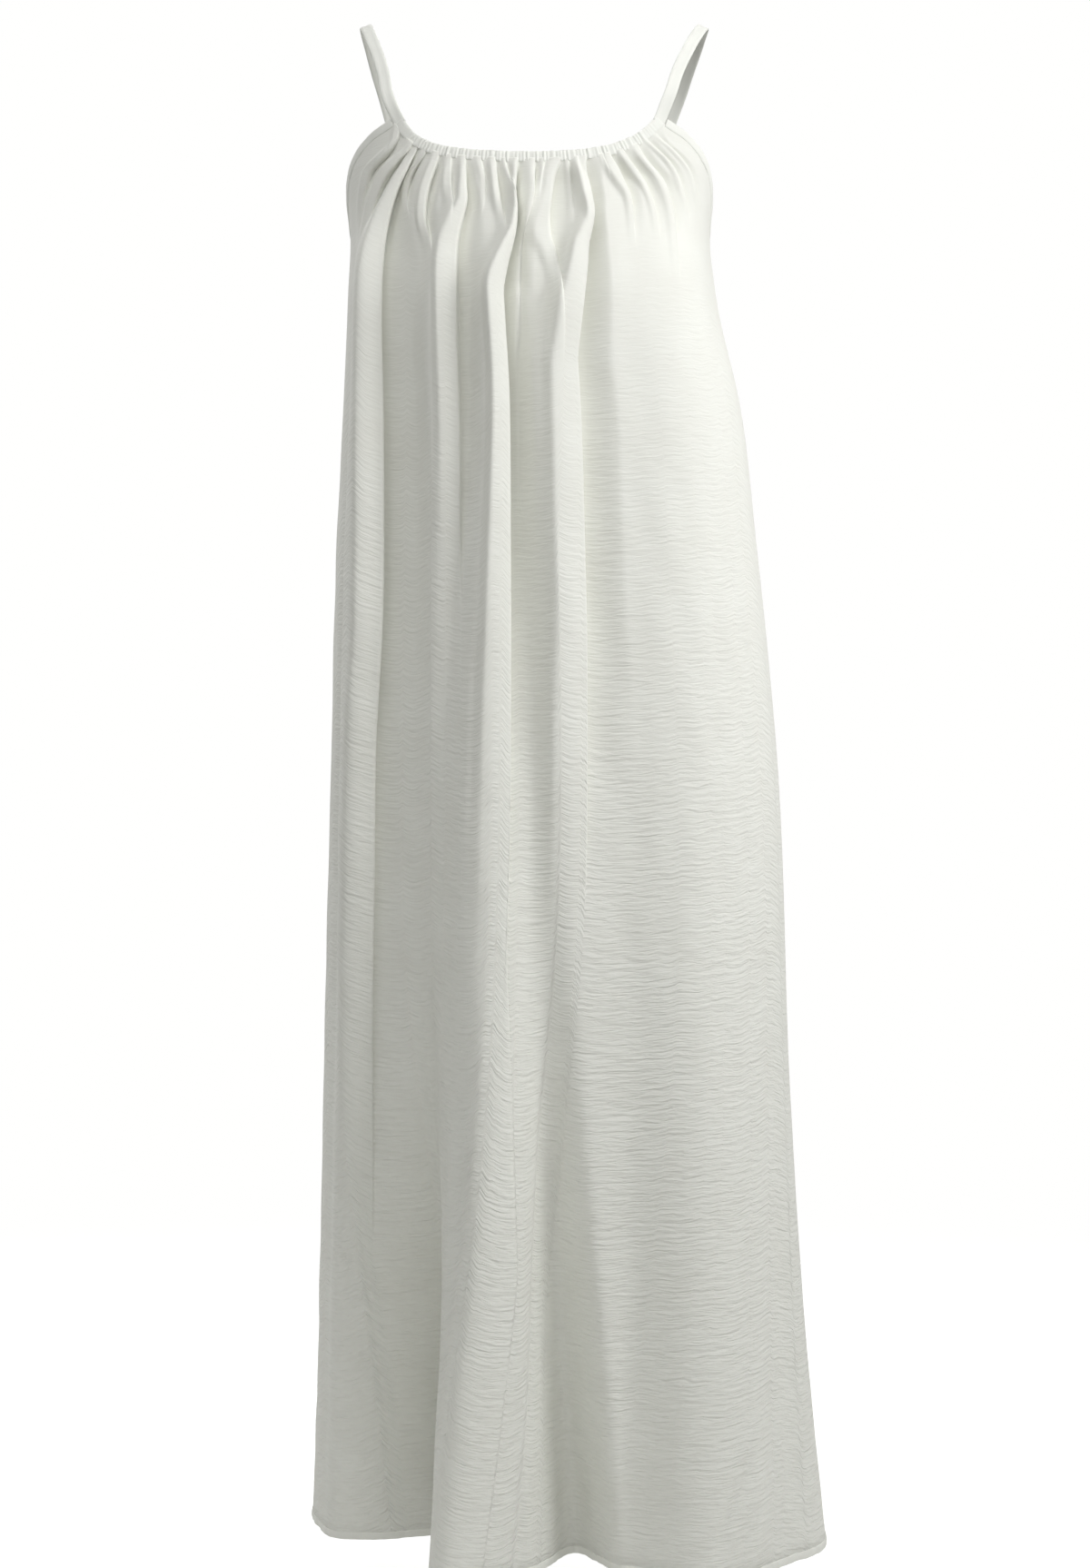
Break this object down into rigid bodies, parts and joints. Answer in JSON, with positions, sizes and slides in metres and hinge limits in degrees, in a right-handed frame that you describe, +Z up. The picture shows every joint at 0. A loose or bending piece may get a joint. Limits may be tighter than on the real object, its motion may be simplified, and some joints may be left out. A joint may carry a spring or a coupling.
{
  "type": "sundress",
  "caption": "Long sleeveless summer dress with a gathered bound neckline, thin shoulder straps, bound armholes and a loose skirt in deep folds, shaped as worn.",
  "frame": {"origin": "level with the tops of the two shoulder straps, midway between the armholes, where the wearer's shoulders hold the dress", "axes": "+Z up, the front of the dress faces -Y, +X towards the wearer's left side"},
  "size_m": [0.4672, 0.3666, 1.3642],
  "materials": {
    "white_crepe": "light off-white woven crepe with fine crosswise crinkles, matte and slightly sheer",
    "white_binding": "the same off-white crepe folded into narrow smooth binding strips and straps"
  },
  "bodies": {
    "root": {"front_panel": "white_crepe", "back_panel": "white_crepe", "front_neck_binding": "white_binding", "back_neck_binding": "white_binding", "armhole_binding_left": "white_binding", "armhole_binding_right": "white_binding", "strap_left": "white_binding", "strap_right": "white_binding"}
  },
  "joints": []
}
